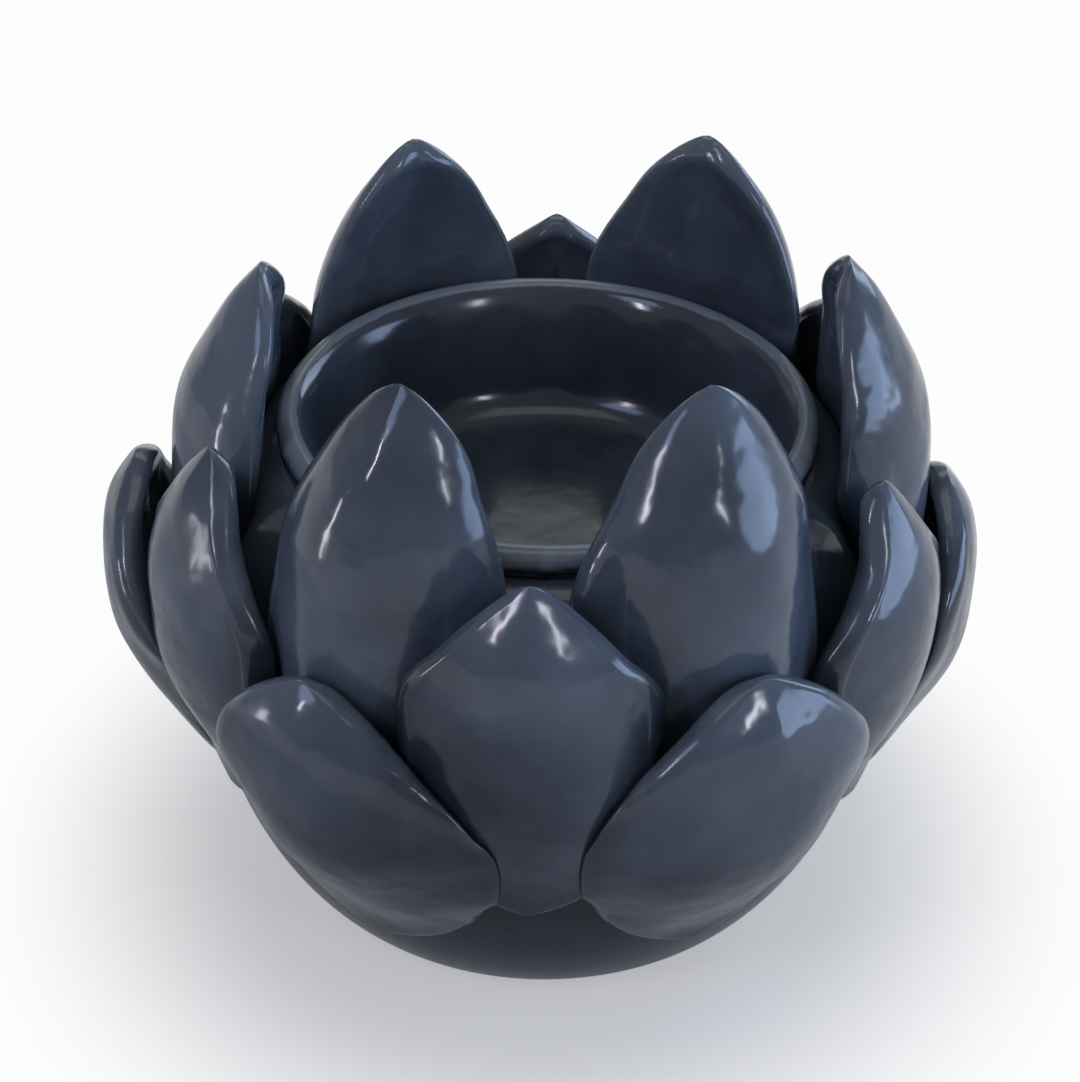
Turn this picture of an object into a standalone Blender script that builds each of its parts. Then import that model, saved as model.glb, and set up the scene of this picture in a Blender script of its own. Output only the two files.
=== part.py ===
"""Artichoke candle holder: a hollow clay globe with a candle cup in its mouth, and petals laid over it."""

import math

import bmesh
import bpy
from mathutils import Matrix, Vector
from mathutils.bvhtree import BVHTree
from mathutils.geometry import interpolate_bezier

# Candle cup, a shallow dish with a rolled lip that hangs in the mouth of the bowl
RIM_HEIGHT = 0.0795
LIP_RADIUS = 0.0390
LIP_ROLL = 0.0020
CUP_WALL = 0.0026
CUP_FLOOR = 0.0045
WELL_DEPTH = 0.0200
WELL_TAPER = 0.0035
WELL_CORNER = 0.0035

# Bowl body, a thrown globe with a foot ring and a vent that lets hot air out of the hollow in the kiln
BODY_RADIUS = 0.0515
BODY_WIDEST_HEIGHT = 0.0400
BODY_WALL = 0.0045
SHOULDER_WIDTH = 0.0075
FOOT_RADIUS = 0.0345
FOOT_WIDTH = 0.0045
FOOT_DEPTH = 0.0018
FOOT_FLARE = 0.0075
FOOT_RISE = 0.0030
VENT_RADIUS = 0.0030

# Fit of the clay pieces on each other: the gap, the length over which a petal comes to its seat, how deep
# its back reaches down for it, and the clay that stays over what stands high under it, also at its edge
SEAT_GAP = 0.0003
SEAT_EASE = 0.0080
DEEPEST_SEAT = 0.0025
LEAST_COVER = 0.0044
THINNEST = 0.0012

# Petals: REACH is outwards from the lip, RISE and DROP are from the rim, HEIGHT is from the table,
# STANDOFF is the outer face over the globe, WIDEST is how far below the tip, DOME is the fall of the
# outer face from its midline to its edges, FREE_LENGTH is what stands off below the tip, SOFTNESS is an
# edge's rounding as a share of its thickness, and FEATHER is how much thinner the base is smoothed out
PETALS_PER_ROW = 6
EDGE_THICKNESS = 0.0036
EDGE_SOFTNESS = 0.9
TIP_ROUNDING = 0.0030
FEATHER = 0.6

INNER_TIP_REACH = 0.0022
INNER_TIP_RISE = 0.0242
INNER_TIP_LEAN = 42.0
INNER_BELLY_STANDOFF = 0.0040
INNER_BELLY_DROP = 0.0115
INNER_BASE_HEIGHT = 0.0395
INNER_BASE_STANDOFF = 0.0018
INNER_WIDTH = 0.0370
INNER_WIDEST = 0.0320
INNER_SHARPNESS = 0.66
INNER_DOME = 0.0135
INNER_THICKNESS = 0.0125
INNER_FREE_LENGTH = 0.0300

MIDDLE_TIP_REACH = 0.0130
MIDDLE_TIP_RISE = 0.0040
MIDDLE_TIP_LEAN = 42.0
MIDDLE_BELLY_STANDOFF = 0.0090
MIDDLE_BELLY_DROP = 0.0215
MIDDLE_BASE_HEIGHT = 0.0300
MIDDLE_BASE_STANDOFF = 0.0018
MIDDLE_WIDTH = 0.0350
MIDDLE_WIDEST = 0.0185
MIDDLE_SHARPNESS = 0.85
MIDDLE_DOME = 0.0090
MIDDLE_THICKNESS = 0.0080
MIDDLE_FREE_LENGTH = 0.0240

LOWER_TIP_REACH = 0.0205
LOWER_TIP_RISE = -0.0104
LOWER_TIP_LEAN = 45.0
LOWER_BELLY_STANDOFF = 0.0136
LOWER_BELLY_DROP = 0.0310
LOWER_BASE_HEIGHT = 0.0172
LOWER_BASE_STANDOFF = 0.0018
LOWER_WIDTH = 0.0435
LOWER_WIDEST = 0.0290
LOWER_SHARPNESS = 0.70
LOWER_DOME = 0.0100
LOWER_THICKNESS = 0.0080
LOWER_FREE_LENGTH = 0.0230

# Where the maker's hand differs from the even ring: degrees a petal is turned round the globe, and
# metres its tip sways to its own right, its tip is lifted, it stands further out and it is wider, and how
# much more pointed it is
HAND_SET = {
    "inner_petal_1": {"turn": -2.2, "sway": 0.0010},
    "inner_petal_2": {"lift": -0.0004},
    "inner_petal_3": {"turn": -2.5, "sway": -0.0015, "lift": 0.0020, "widen": 0.0020},
    "inner_petal_4": {"turn": 0.6},
    "inner_petal_5": {"lift": -0.0028, "stand": -0.0009},
    "inner_petal_6": {"turn": 0.3, "sway": 0.0022, "widen": -0.0020},
    "middle_petal_1": {"turn": -1.8, "sway": -0.0003},
    "middle_petal_2": {"point": 0.40},
    "middle_petal_4": {"sway": -0.0010, "point": 0.25},
    "middle_petal_6": {"lift": 0.0035, "point": 0.35},
    "lower_petal_1": {"turn": -3.0, "sway": 0.0012, "lift": 0.0010, "widen": 0.0015},
    "lower_petal_2": {"stand": -0.0012},
    "lower_petal_5": {"lift": 0.0008, "stand": 0.0006},
    "lower_petal_6": {"turn": 3.0, "sway": -0.0048, "lift": -0.0018},
}

# Form of every petal: the pull of the midline's curves at tip, belly and base as shares of its rise and
# fall, the roundness of the outline below its widest place, of the dome and of the back, how much of the
# dome is lost at the base, how much of its roundness turns to a ridge at the tip, and how far the maker
# presses the edges on what is under them
TIP_PULL = 0.42
BELLY_PULL_UP = 0.45
BELLY_PULL_DOWN = 0.40
BASE_PULL = 0.35
BASE_ROUNDNESS = 2.4
BASE_FLATTENING = 0.45
DOME_ROUNDNESS = 2.3
RIDGE = 0.7
BACK_ROUNDNESS = 2.2
EDGE_PRESS = 0.8

# Fineness of the facets, how far they crowd to the ends and edges of a petal, and the steps in which a
# petal is cleared of what it lies on
TURN_STEPS = 48
CORNER_POINTS = 4
LIP_POINTS = 8
GLOBE_POINTS = 8
STATIONS = 13
POINTS_ACROSS = 9
CURVE_POINTS = 40
END_CROWDING = 0.60
EDGE_CROWDING = 0.96
SLOPE_STEP = 0.001
CLEARING_STEP = 0.0001
CLEARING_ROUNDS = 60
DRAPE_ANGLE = 0.03
DRAPE_ROUNDS = 5

GLAZE_ROUGHNESS = 0.12
GLAZES = {
    "candle_cup": (0.020, 0.026, 0.032),
    "bowl_body": (0.030, 0.042, 0.055),
    "inner_petal": (0.052, 0.062, 0.080),
    "middle_petal": (0.046, 0.058, 0.074),
    "lower_petal": (0.036, 0.048, 0.062),
}

# Sizes that follow from the ones above
WELL_RADIUS = LIP_RADIUS - 2 * LIP_ROLL
CUP_RADIUS = WELL_RADIUS + CUP_WALL
MOUTH_RADIUS = CUP_RADIUS + SEAT_GAP
SHOULDER_HEIGHT = RIM_HEIGHT - 2 * LIP_ROLL - SEAT_GAP
HEART = Vector((0.0, 0.0, 0.7 * RIM_HEIGHT))

ROWS = (
    {
        "name": "inner_petal",
        "first_turn": 30.0,
        "tip": (LIP_RADIUS + INNER_TIP_REACH, RIM_HEIGHT + INNER_TIP_RISE),
        "tip_lean": INNER_TIP_LEAN,
        "belly": (BODY_RADIUS + INNER_BELLY_STANDOFF, RIM_HEIGHT - INNER_BELLY_DROP),
        "base_height": INNER_BASE_HEIGHT,
        "base_standoff": INNER_BASE_STANDOFF,
        "width": INNER_WIDTH,
        "widest": INNER_WIDEST,
        "sharpness": INNER_SHARPNESS,
        "dome": INNER_DOME,
        "thickness": INNER_THICKNESS,
        "free_length": INNER_FREE_LENGTH,
    },
    {
        "name": "middle_petal",
        "first_turn": 0.0,
        "tip": (LIP_RADIUS + MIDDLE_TIP_REACH, RIM_HEIGHT + MIDDLE_TIP_RISE),
        "tip_lean": MIDDLE_TIP_LEAN,
        "belly": (BODY_RADIUS + MIDDLE_BELLY_STANDOFF, RIM_HEIGHT - MIDDLE_BELLY_DROP),
        "base_height": MIDDLE_BASE_HEIGHT,
        "base_standoff": MIDDLE_BASE_STANDOFF,
        "width": MIDDLE_WIDTH,
        "widest": MIDDLE_WIDEST,
        "sharpness": MIDDLE_SHARPNESS,
        "dome": MIDDLE_DOME,
        "thickness": MIDDLE_THICKNESS,
        "free_length": MIDDLE_FREE_LENGTH,
    },
    {
        "name": "lower_petal",
        "first_turn": 30.0,
        "tip": (LIP_RADIUS + LOWER_TIP_REACH, RIM_HEIGHT + LOWER_TIP_RISE),
        "tip_lean": LOWER_TIP_LEAN,
        "belly": (BODY_RADIUS + LOWER_BELLY_STANDOFF, RIM_HEIGHT - LOWER_BELLY_DROP),
        "base_height": LOWER_BASE_HEIGHT,
        "base_standoff": LOWER_BASE_STANDOFF,
        "width": LOWER_WIDTH,
        "widest": LOWER_WIDEST,
        "sharpness": LOWER_SHARPNESS,
        "dome": LOWER_DOME,
        "thickness": LOWER_THICKNESS,
        "free_length": LOWER_FREE_LENGTH,
    },
)


def clear_scene():
    for obj in list(bpy.data.objects):
        bpy.data.objects.remove(obj)


def smooth(x):
    """Ease from 0 to 1."""
    x = min(1.0, max(0.0, x))
    return x * x * (3.0 - 2.0 * x)


def bezier(start, start_handle, end_handle, end, count):
    corners = [Vector((*point, 0.0)) for point in (start, start_handle, end_handle, end)]
    return [(p.x, p.y) for p in interpolate_bezier(*corners, count)]


def arc(centre, radius, first, last, count):
    """Points of an arc, from angle first to angle last in degrees, 0 pointing outwards and 90 up."""
    angles = [math.radians(first + (last - first) * i / (count - 1)) for i in range(count)]
    return [(centre[0] + radius * math.cos(a), centre[1] + radius * math.sin(a)) for a in angles]


def turned(profile, steps=TURN_STEPS):
    """Solid of revolution of a closed section about the upright axis."""
    bm = bmesh.new()
    points = [bm.verts.new((r, 0.0, z)) for r, z in profile]
    edges = []
    for i, point in enumerate(points):
        other = points[(i + 1) % len(points)]
        if point.co.x > 0 or other.co.x > 0:
            edges.append(bm.edges.new((point, other)))
    bmesh.ops.spin(
        bm,
        geom=points + edges,
        cent=(0, 0, 0),
        axis=(0, 0, 1),
        angle=2 * math.pi,
        steps=steps,
        use_merge=True,
    )
    bmesh.ops.remove_doubles(bm, verts=bm.verts, dist=1e-6)
    return bm


def cup_section():
    """Well floor and wall, over the rolled lip, and down the outside to the underside."""
    floor = RIM_HEIGHT - WELL_DEPTH
    floor_radius = WELL_RADIUS - WELL_TAPER
    under_corner = WELL_CORNER + 0.5 * CUP_WALL
    under_centre = (floor_radius + CUP_WALL - under_corner, floor - CUP_FLOOR + under_corner)
    corner_centre = (floor_radius - WELL_CORNER, floor + WELL_CORNER)
    well = [(0.0, floor)] + arc(corner_centre, WELL_CORNER, -90, -8, CORNER_POINTS)
    lip = arc((LIP_RADIUS - LIP_ROLL, RIM_HEIGHT - LIP_ROLL), LIP_ROLL, 190, -60, LIP_POINTS)
    wall = [(CUP_RADIUS, SHOULDER_HEIGHT + SEAT_GAP), (CUP_RADIUS, SHOULDER_HEIGHT - BODY_WALL)]
    under = arc(under_centre, under_corner, 0, -90, CORNER_POINTS)
    return well + lip + wall + under + [(0.0, floor - CUP_FLOOR)]


def globe_outline(inset=0.0):
    """Outside of the globe from its shoulder down to its foot, drawn in by inset."""
    mouth = (MOUTH_RADIUS, SHOULDER_HEIGHT - inset)
    widest = (BODY_RADIUS - inset, BODY_WIDEST_HEIGHT)
    foot = (FOOT_RADIUS - inset, inset)
    beside_mouth = (mouth[0] + SHOULDER_WIDTH, mouth[1])
    over_widest = (widest[0], 0.5 * (widest[1] + mouth[1]))
    under_widest = (widest[0], 0.5 * (widest[1] + foot[1]))
    over_foot = (foot[0] + FOOT_FLARE, foot[1] + FOOT_RISE)
    upper = bezier(mouth, beside_mouth, over_widest, widest, GLOBE_POINTS)
    lower = bezier(widest, under_widest, over_foot, foot, GLOBE_POINTS + 1)
    return upper + lower[1:]


def bowl_section():
    floor = FOOT_DEPTH + BODY_WALL
    foot = [
        (FOOT_RADIUS - FOOT_WIDTH, 0.0),
        (FOOT_RADIUS - FOOT_WIDTH, FOOT_DEPTH),
        (VENT_RADIUS, FOOT_DEPTH),
        (VENT_RADIUS, floor),
    ]
    inside = [point for point in reversed(globe_outline(BODY_WALL)) if point[1] > floor]
    return globe_outline() + foot + inside


def globe_radius(height):
    """Radius of the globe's outside at a height."""
    outline = globe_outline()
    for (r0, z0), (r1, z1) in zip(outline, outline[1:]):
        if z1 <= height <= z0:
            return r0 + (r1 - r0) * (height - z0) / (z1 - z0)
    return MOUTH_RADIUS if height > SHOULDER_HEIGHT else FOOT_RADIUS


class Petal:
    """A clay leaf: a midline in its own upright plane, a pointed outline and a domed cross section."""

    def __init__(self, row, index):
        self.name = f"{row['name']}_{index + 1}"
        hand = HAND_SET.get(self.name, {})
        self.row = row
        self.turn = row["first_turn"] + 360.0 * index / PETALS_PER_ROW + hand.get("turn", 0.0)
        self.sway = hand.get("sway", 0.0)
        self.width = row["width"] + hand.get("widen", 0.0)
        self.sharpness = row["sharpness"] + hand.get("point", 0.0)
        stand, lift = hand.get("stand", 0.0), hand.get("lift", 0.0)
        tip = (row["tip"][0] + stand, row["tip"][1] + lift)
        belly = (row["belly"][0] + stand, row["belly"][1])
        height = row["base_height"]
        base = (globe_radius(height) + row["base_standoff"], height)
        flare = (globe_radius(height + SLOPE_STEP) - globe_radius(height)) / SLOPE_STEP
        lean = math.radians(row["tip_lean"])
        rise, fall = tip[1] - belly[1], belly[1] - base[1]
        pull = TIP_PULL * rise
        under_tip = (tip[0] + pull * math.sin(lean), tip[1] - pull * math.cos(lean))
        over_belly = (belly[0], belly[1] + BELLY_PULL_UP * rise)
        under_belly = (belly[0], belly[1] - BELLY_PULL_DOWN * fall)
        over_base = (base[0] + BASE_PULL * fall * flare, base[1] + BASE_PULL * fall)
        upper = bezier(tip, under_tip, over_belly, belly, CURVE_POINTS)
        lower = bezier(belly, under_belly, over_base, base, CURVE_POINTS)
        self.points = upper + lower[1:]
        self.along = [0.0]
        for a, b in zip(self.points, self.points[1:]):
            self.along.append(self.along[-1] + math.dist(a, b))
        self.length = self.along[-1]

    def midline(self, down):
        """(radius, height) at a distance down from the tip, and the outward normal there."""
        i = 0
        while i < len(self.along) - 2 and self.along[i + 1] < down:
            i += 1
        a, b = self.points[i], self.points[i + 1]
        span = math.dist(a, b)
        share = (down - self.along[i]) / span
        point = (a[0] + (b[0] - a[0]) * share, a[1] + (b[1] - a[1]) * share)
        return point, ((a[1] - b[1]) / span, (b[0] - a[0]) / span)

    def half_width(self, down):
        widest = self.row["widest"]
        if down > widest:
            share = (down - widest) / (self.length - widest)
            return 0.5 * self.width * math.sqrt(max(0.0, 1.0 - share ** BASE_ROUNDNESS))
        pointed = 0.5 * self.width * math.sin(0.5 * math.pi * (down / widest) ** self.sharpness)
        blunt = 2.0 * TIP_ROUNDING * down * (1.0 - smooth(0.25 * down / TIP_ROUNDING))
        return math.sqrt(pointed ** 2 + blunt)

    def baseness(self, down):
        """From 0 at the widest place to 1 at the base."""
        widest = self.row["widest"]
        return smooth((down - widest) / (self.length - widest))

    def outer_face(self, down, side):
        """Point of the outer face; the dome turns to a soft pinched ridge towards the tip."""
        (radius, height), normal = self.midline(down)
        ridge = 1.0 - smooth(down / self.row["widest"])
        dome = self.row["dome"] * (1.0 - BASE_FLATTENING * self.baseness(down))
        drop = dome * abs(2.0 * side / self.width) ** (DOME_ROUNDNESS - RIDGE * ridge)
        sway = self.sway * (1.0 - smooth(2.0 * down / self.length))
        return Vector((side + sway, drop * normal[0] - radius, height - drop * normal[1]))

    def feathering(self, down):
        """Share of the clay that is left where the base is smoothed out on what is under it."""
        return 1.0 - FEATHER * self.baseness(down)

    def thickness(self, down, side):
        """Full in the middle, thin at the edge and the base, and rounded off at both ends."""
        end = min(down, self.length - down)
        rounding = math.sqrt(1.0 - (1.0 - min(1.0, 2.0 * end / EDGE_THICKNESS)) ** 2)
        across = min(1.0, abs(side) / max(self.half_width(down), 1e-6))
        extra = (self.row["thickness"] - EDGE_THICKNESS) * smooth(0.5 * end / self.row["thickness"])
        full = EDGE_THICKNESS + extra * (1.0 - across ** BACK_ROUNDNESS)
        return rounding * full * self.feathering(down)

    def rings(self, stations, points_across):
        """Closed rings from tip to base, each node a dict of its place before the petal is laid."""
        spin = Matrix.Rotation(math.radians(self.turn), 3, "Z")
        rings = []
        for k in range(stations):
            share = (k + 0.5) / stations
            crowded = 0.5 - 0.5 * math.cos(math.pi * share)
            down = self.length * (END_CROWDING * crowded + (1.0 - END_CROWDING) * share)
            half = self.half_width(down)
            rim = half - min(EDGE_SOFTNESS * self.thickness(down, half), 0.5 * half)
            quarter = 0.5 * math.pi * EDGE_CROWDING
            spread = [math.sin(quarter * (2.0 * i / (points_across - 1) - 1.0)) for i in range(points_across)]
            sides = [rim * s / spread[-1] for s in spread]
            nodes = [(side, 0.0) for side in sides] + [(half, 0.5)]
            nodes += [(side, 1.0) for side in reversed(sides)] + [(-half, 0.5)]
            rings.append([
                {
                    "place": spin @ self.outer_face(down, side),
                    "depth": depth,
                    "thickness": self.thickness(down, side),
                    "cover": min(self.thickness(down, side), LEAST_COVER * self.feathering(down)),
                    "across": abs(side) / half,
                    "down": down,
                }
                for side, depth in nodes
            ])
        ends = [spin @ self.outer_face(down, 0.0) for down in (0.0, self.length)]
        return rings, ends


def ground(point, under, around=0.0):
    """Distance from the globe's heart at which clay may lie in a point's direction, or a little around it."""
    out = (point - HEART).normalized()
    side = out.cross(Vector((0.0, 0.0, 1.0))).normalized()
    ways = [out] + [out + around * way for way in (side, -side, side.cross(out), out.cross(side)) if around]
    hits = [under.ray_cast(HEART + way.normalized(), -way.normalized())[0] for way in ways]
    return max([(hit - HEART).length + SEAT_GAP for hit in hits if hit], default=0.0)


def softened(field):
    """Spread a grid of lifts to its neighbours, never below its own value, as clay would bend."""
    count, size = len(field), len(field[0])
    for _ in range(DRAPE_ROUNDS):
        old = [list(line) for line in field]
        for k in range(count):
            for j in range(size):
                around = [old[k][(j + 1) % size], old[k][j - 1]]
                around += [old[i][j] for i in (k - 1, k + 1) if 0 <= i < count]
                field[k][j] = max(field[k][j], sum(around) / len(around))
    return field


def lay(rings, under, free_length):
    """Lay a petal over what is under it: lifted where that stands high, seated on it below the free part."""
    floors = [[ground(node["place"], under, DRAPE_ANGLE) for node in ring] for ring in rings]
    lifts = []
    for ring, line in zip(rings, floors):
        lifts.append([
            max(0.0, floor + node["cover"] - (node["place"] - HEART).length)
            for node, floor in zip(ring, line)
        ])
    lifts = softened(lifts)
    soft_floors = softened([list(line) for line in floors])
    laid = []
    for ring, *lines in zip(rings, floors, soft_floors, lifts):
        line = []
        for node, floor, soft_floor, lift in zip(ring, *lines):
            way = (node["place"] - HEART).normalized()
            seat = smooth((node["down"] - free_length) / SEAT_EASE + 0.5) if floor else 0.0
            outer = (node["place"] - HEART).length + lift
            outer -= EDGE_PRESS * seat * node["across"] ** 4 * max(0.0, outer - node["cover"] - soft_floor)
            back = max(outer - node["thickness"], min(floor, outer - node["cover"]))
            drop = max(0.0, back - ground(node["place"], under))
            back -= seat * drop * (1.0 - smooth(drop / DEEPEST_SEAT - 1.0))
            line.append(HEART + way * (outer + (back - outer) * node["depth"]))
        laid.append(line)
    return laid


def facets_over(rings, ring_size):
    """Triangles over a stack of rings and a point past each end, split alike on outer face and back."""
    first_end, last_end = rings * ring_size, rings * ring_size + 1
    last_ring = (rings - 1) * ring_size
    facets = []
    for j in range(ring_size):
        after = (j + 1) % ring_size
        facets.append((first_end, after, j))
        facets.append((last_end, last_ring + j, last_ring + after))
        for start in range(0, last_ring, ring_size):
            a, b, c, d = start + j, start + after, start + after + ring_size, start + j + ring_size
            facets += [(a, b, c), (a, c, d)] if 2 * j < ring_size else [(a, b, d), (b, c, d)]
    return facets


def cleared(nodes, facets, ring_size, under):
    """Push a laid petal's facets out, a little at a time, until they all clear what is under it."""
    for _ in range(CLEARING_ROUNDS):
        drawn_in = [node - (node - HEART).normalized() * SEAT_GAP for node in nodes]
        hits = BVHTree.FromPolygons(drawn_in, facets).overlap(under)
        for i in {i for hit in hits for i in facets[hit[0]]}:
            nodes[i] = nodes[i] + (nodes[i] - HEART).normalized() * CLEARING_STEP
            outer = i + ring_size - 2 - 2 * (i % ring_size)
            if i % ring_size > ring_size // 2 and outer % ring_size < ring_size // 2:
                least = (nodes[i] - HEART).length + THINNEST
                if (nodes[outer] - HEART).length < least:
                    nodes[outer] = HEART + (nodes[outer] - HEART).normalized() * least
        if not hits:
            break
    return nodes


def petal_skin(petal, under, stations=STATIONS, points_across=POINTS_ACROSS):
    rings, ends = petal.rings(stations, points_across)
    laid = lay(rings, under, petal.row["free_length"])
    nodes = [node for ring in laid for node in ring]
    for ring, end in zip((laid[0], laid[-1]), ends):
        middle = sum(ring, Vector()) / len(ring)
        reach = max((end - HEART).length, ground(end, under), (middle - HEART).length)
        nodes.append(HEART + (end - HEART).normalized() * reach)
    facets = facets_over(stations, len(rings[0]))
    bm = bmesh.new()
    points = [bm.verts.new(node) for node in cleared(nodes, facets, len(rings[0]), under)]
    for facet in facets:
        bm.faces.new([points[i] for i in facet])
    return bm


def surface_tree(objects):
    bm = bmesh.new()
    for obj in objects:
        bm.from_mesh(obj.data)
    tree = BVHTree.FromBMesh(bm)
    bm.free()
    return tree


def glazed(obj, kind):
    material = bpy.data.materials.new(obj.name + "_glaze")
    material.use_nodes = True
    shader = material.node_tree.nodes["Principled BSDF"]
    shader.inputs["Base Color"].default_value = (*GLAZES[kind], 1.0)
    shader.inputs["Roughness"].default_value = GLAZE_ROUGHNESS
    shader.inputs["Metallic"].default_value = 0.0
    obj.data.materials.append(material)


def add_piece(name, bm, kind):
    bmesh.ops.recalc_face_normals(bm, faces=bm.faces)
    mesh = bpy.data.meshes.new(name)
    bm.to_mesh(mesh)
    bm.free()
    mesh.shade_smooth()
    obj = bpy.data.objects.new(name, mesh)
    bpy.context.scene.collection.objects.link(obj)
    glazed(obj, kind)
    return obj


def main():
    clear_scene()
    pieces = [
        add_piece("bowl_body", turned(bowl_section()), "bowl_body"),
        add_piece("candle_cup", turned(cup_section()), "candle_cup"),
    ]
    for row in ROWS:
        under = surface_tree(pieces)
        for index in range(PETALS_PER_ROW):
            petal = Petal(row, index)
            pieces.append(add_piece(petal.name, petal_skin(petal, under), row["name"]))


main()
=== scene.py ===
import math

import bmesh
import bpy
import numpy as np
from mathutils import Matrix, Quaternion, Vector, noise
from mathutils.bvhtree import BVHTree
from mathutils.geometry import interpolate_bezier


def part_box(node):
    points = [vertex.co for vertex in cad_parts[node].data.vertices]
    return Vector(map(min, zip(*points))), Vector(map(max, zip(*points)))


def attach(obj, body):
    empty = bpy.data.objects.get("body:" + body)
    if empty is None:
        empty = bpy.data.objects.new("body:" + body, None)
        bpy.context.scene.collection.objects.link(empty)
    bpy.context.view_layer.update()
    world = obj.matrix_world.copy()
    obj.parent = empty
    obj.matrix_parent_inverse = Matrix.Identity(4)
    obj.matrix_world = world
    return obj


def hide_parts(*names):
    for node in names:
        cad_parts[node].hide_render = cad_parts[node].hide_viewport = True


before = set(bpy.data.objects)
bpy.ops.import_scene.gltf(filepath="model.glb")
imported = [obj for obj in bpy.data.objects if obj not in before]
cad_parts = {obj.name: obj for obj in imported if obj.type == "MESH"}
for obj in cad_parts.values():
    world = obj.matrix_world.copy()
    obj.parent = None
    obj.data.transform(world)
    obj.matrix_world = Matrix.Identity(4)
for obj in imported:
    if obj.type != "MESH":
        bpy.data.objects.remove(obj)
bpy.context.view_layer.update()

# An artichoke candle holder in glazed stoneware: a thrown globe, a cup in its mouth and three rows of
# petals pinched from clay and luted on. Metres, +Z up, the front faces -Y.
print("frame loaded:", len(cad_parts), "nodes")

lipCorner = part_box("candle_cup")[1]
lipRadius, rimHeight = lipCorner.x, lipCorner.z
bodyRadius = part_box("bowl_body")[1].x


# Shared shapes

throwing = {  # how the wheel leaves a wall out of round
    "lobes": 1.3,            # swellings across a radius
    "climb": 8.0,            # how quickly they wander upwards
    "trueRadius": 0.004,     # what lies nearer the middle stays true
}


def smooth(x):
    return x * x * (3.0 - 2.0 * x)


def ease(x):
    return smooth(min(1.0, max(0.0, x)))


def curve(start, startHandle, endHandle, end, count):
    corners = [Vector((*point, 0.0)) for point in (start, startHandle, endHandle, end)]
    return [(p.x, p.y) for p in interpolate_bezier(*corners, count)]


def arc(centre, radius, first, last, count):  # degrees, 0 points outwards and 90 up
    angles = [math.radians(first + (last - first) * i / (count - 1)) for i in range(count)]
    return [(centre[0] + radius * math.cos(a), centre[1] + radius * math.sin(a)) for a in angles]


def turn(section, steps, wobble):
    # a closed section turned on the wheel, a little out of round as hand throwing leaves it
    bm = bmesh.new()
    rings = []
    for i in range(steps):
        angle = 2.0 * math.pi * i / steps
        ring = []
        for radius, height in section:
            way = Vector((math.cos(angle), math.sin(angle), throwing["climb"] * height))
            swelling = wobble * noise.noise(way * throwing["lobes"])
            out = radius + (swelling if radius > throwing["trueRadius"] else 0.0)
            ring.append(bm.verts.new((out * way.x, out * way.y, height)))
        rings.append(ring)
    for i in range(steps):
        one, two = rings[i], rings[(i + 1) % steps]
        for k in range(len(section)):
            n = (k + 1) % len(section)
            bm.faces.new((one[k], two[k], two[n], one[n]))
    bmesh.ops.remove_doubles(bm, verts=bm.verts, dist=1e-6)
    bmesh.ops.dissolve_degenerate(bm, edges=bm.edges, dist=1e-7)
    bmesh.ops.recalc_face_normals(bm, faces=bm.faces)
    return bm


def addPiece(name, bm, replaced, material):
    mesh = bpy.data.meshes.new(name)
    bm.to_mesh(mesh)
    bm.free()
    mesh.shade_smooth()
    piece = bpy.data.objects.new(name, mesh)
    bpy.context.scene.collection.objects.link(piece)
    mesh.materials.append(material)
    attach(piece, "root")
    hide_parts(replaced)
    return piece


# Glaze and bare clay

def linearColour(hexColour):
    parts = [int(hexColour[i:i + 2], 16) / 255.0 for i in (1, 3, 5)]
    return (*[c / 12.92 if c <= 0.04045 else ((c + 0.055) / 1.055) ** 2.4 for c in parts], 1.0)


def addNode(tree, kind, links=None, stops=(), **settings):
    # one node with its settings; links maps an input to a socket, stops are the places and colours or
    # greys of a colour ramp, and input values go in as settings
    node = tree.nodes.new(kind)
    for key, value in settings.items():
        if hasattr(node, key):
            setattr(node, key, value)
        else:
            node.inputs[key.replace("_", " ")].default_value = value
    for key, socket in (links or {}).items():
        tree.links.new(socket, node.inputs[key])
    for i, (place, colour) in enumerate(stops):
        element = node.color_ramp.elements[i]
        element.position = place
        element.color = linearColour(colour) if isinstance(colour, str) else (colour, colour, colour, 1.0)
    return node


glazeLook = {
    "thick": "#0d151f",      # the darker end of the coat's random drift, a cool slate, which painted shade also gives the foot
    "thin": "#454e5b",       # the lighter end of that drift, greyer
    "pooled": "#171d25",     # in the joints, where it gathers
    "edge": "#59616c",       # along the petals' rims, where the glaze breaks over the clay, and along the cup's lip as a painted reflection
    "speck": "#12151a",      # iron that bled up from the clay
    "cloudMm": 26.0,         # drifts in the thickness of the dipped coat
    "heightShadeTop": 0.070,      # how far up the painted shade goes on lightening the coat
    "heightShade": (-0.52, 0.14),    # painted shade: what it adds to the drift at the foot and at this height, darker below
    "coatSpan": (0.26, 0.76),    # drift at which the coat is thick, and at which it is thin
    "brokenMm": 4.0,         # patches in which a rim breaks
    "rimSpan": (0.30, 0.62),     # share of a rim at which its paler edge starts, and is full
    "jointSpan": (0.15, 0.95),   # the same for a joint, and how much of its darker glaze it gets
    "jointDark": 0.85,
    "speckMm": 2.7,          # iron specks, three times as coarse as real, or they wouldn't show
    "speckSpan": (0.04, 0.12),   # how far out one is full, and is gone, as a share of their spacing
    "speckDark": 0.16,
    "hazeMm": 14.0,          # drifts in the gloss
    "hazeSpan": (0.3, 0.7),      # drift at which the glaze is glossiest, and dullest
    "roughness": (0.09, 0.21),
    "waveMm": 9.0,           # the sag of the melted surface
    "waveHeight": 0.00060,
    "rippleMm": 3.5,         # where it ran over finger marks
    "rippleHeight": 0.00014,
    "skinMm": 1.6,           # orange peel of the glaze skin, twice as coarse as real, or it wouldn't show
    "skinHeight": 0.000006,
    "calmHeight": (0.014, 0.042),    # from here down the thicker coat levelled out
    "calm": 0.15,            # and the share of the waves that it kept
    "ior": 1.4,
}


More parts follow.
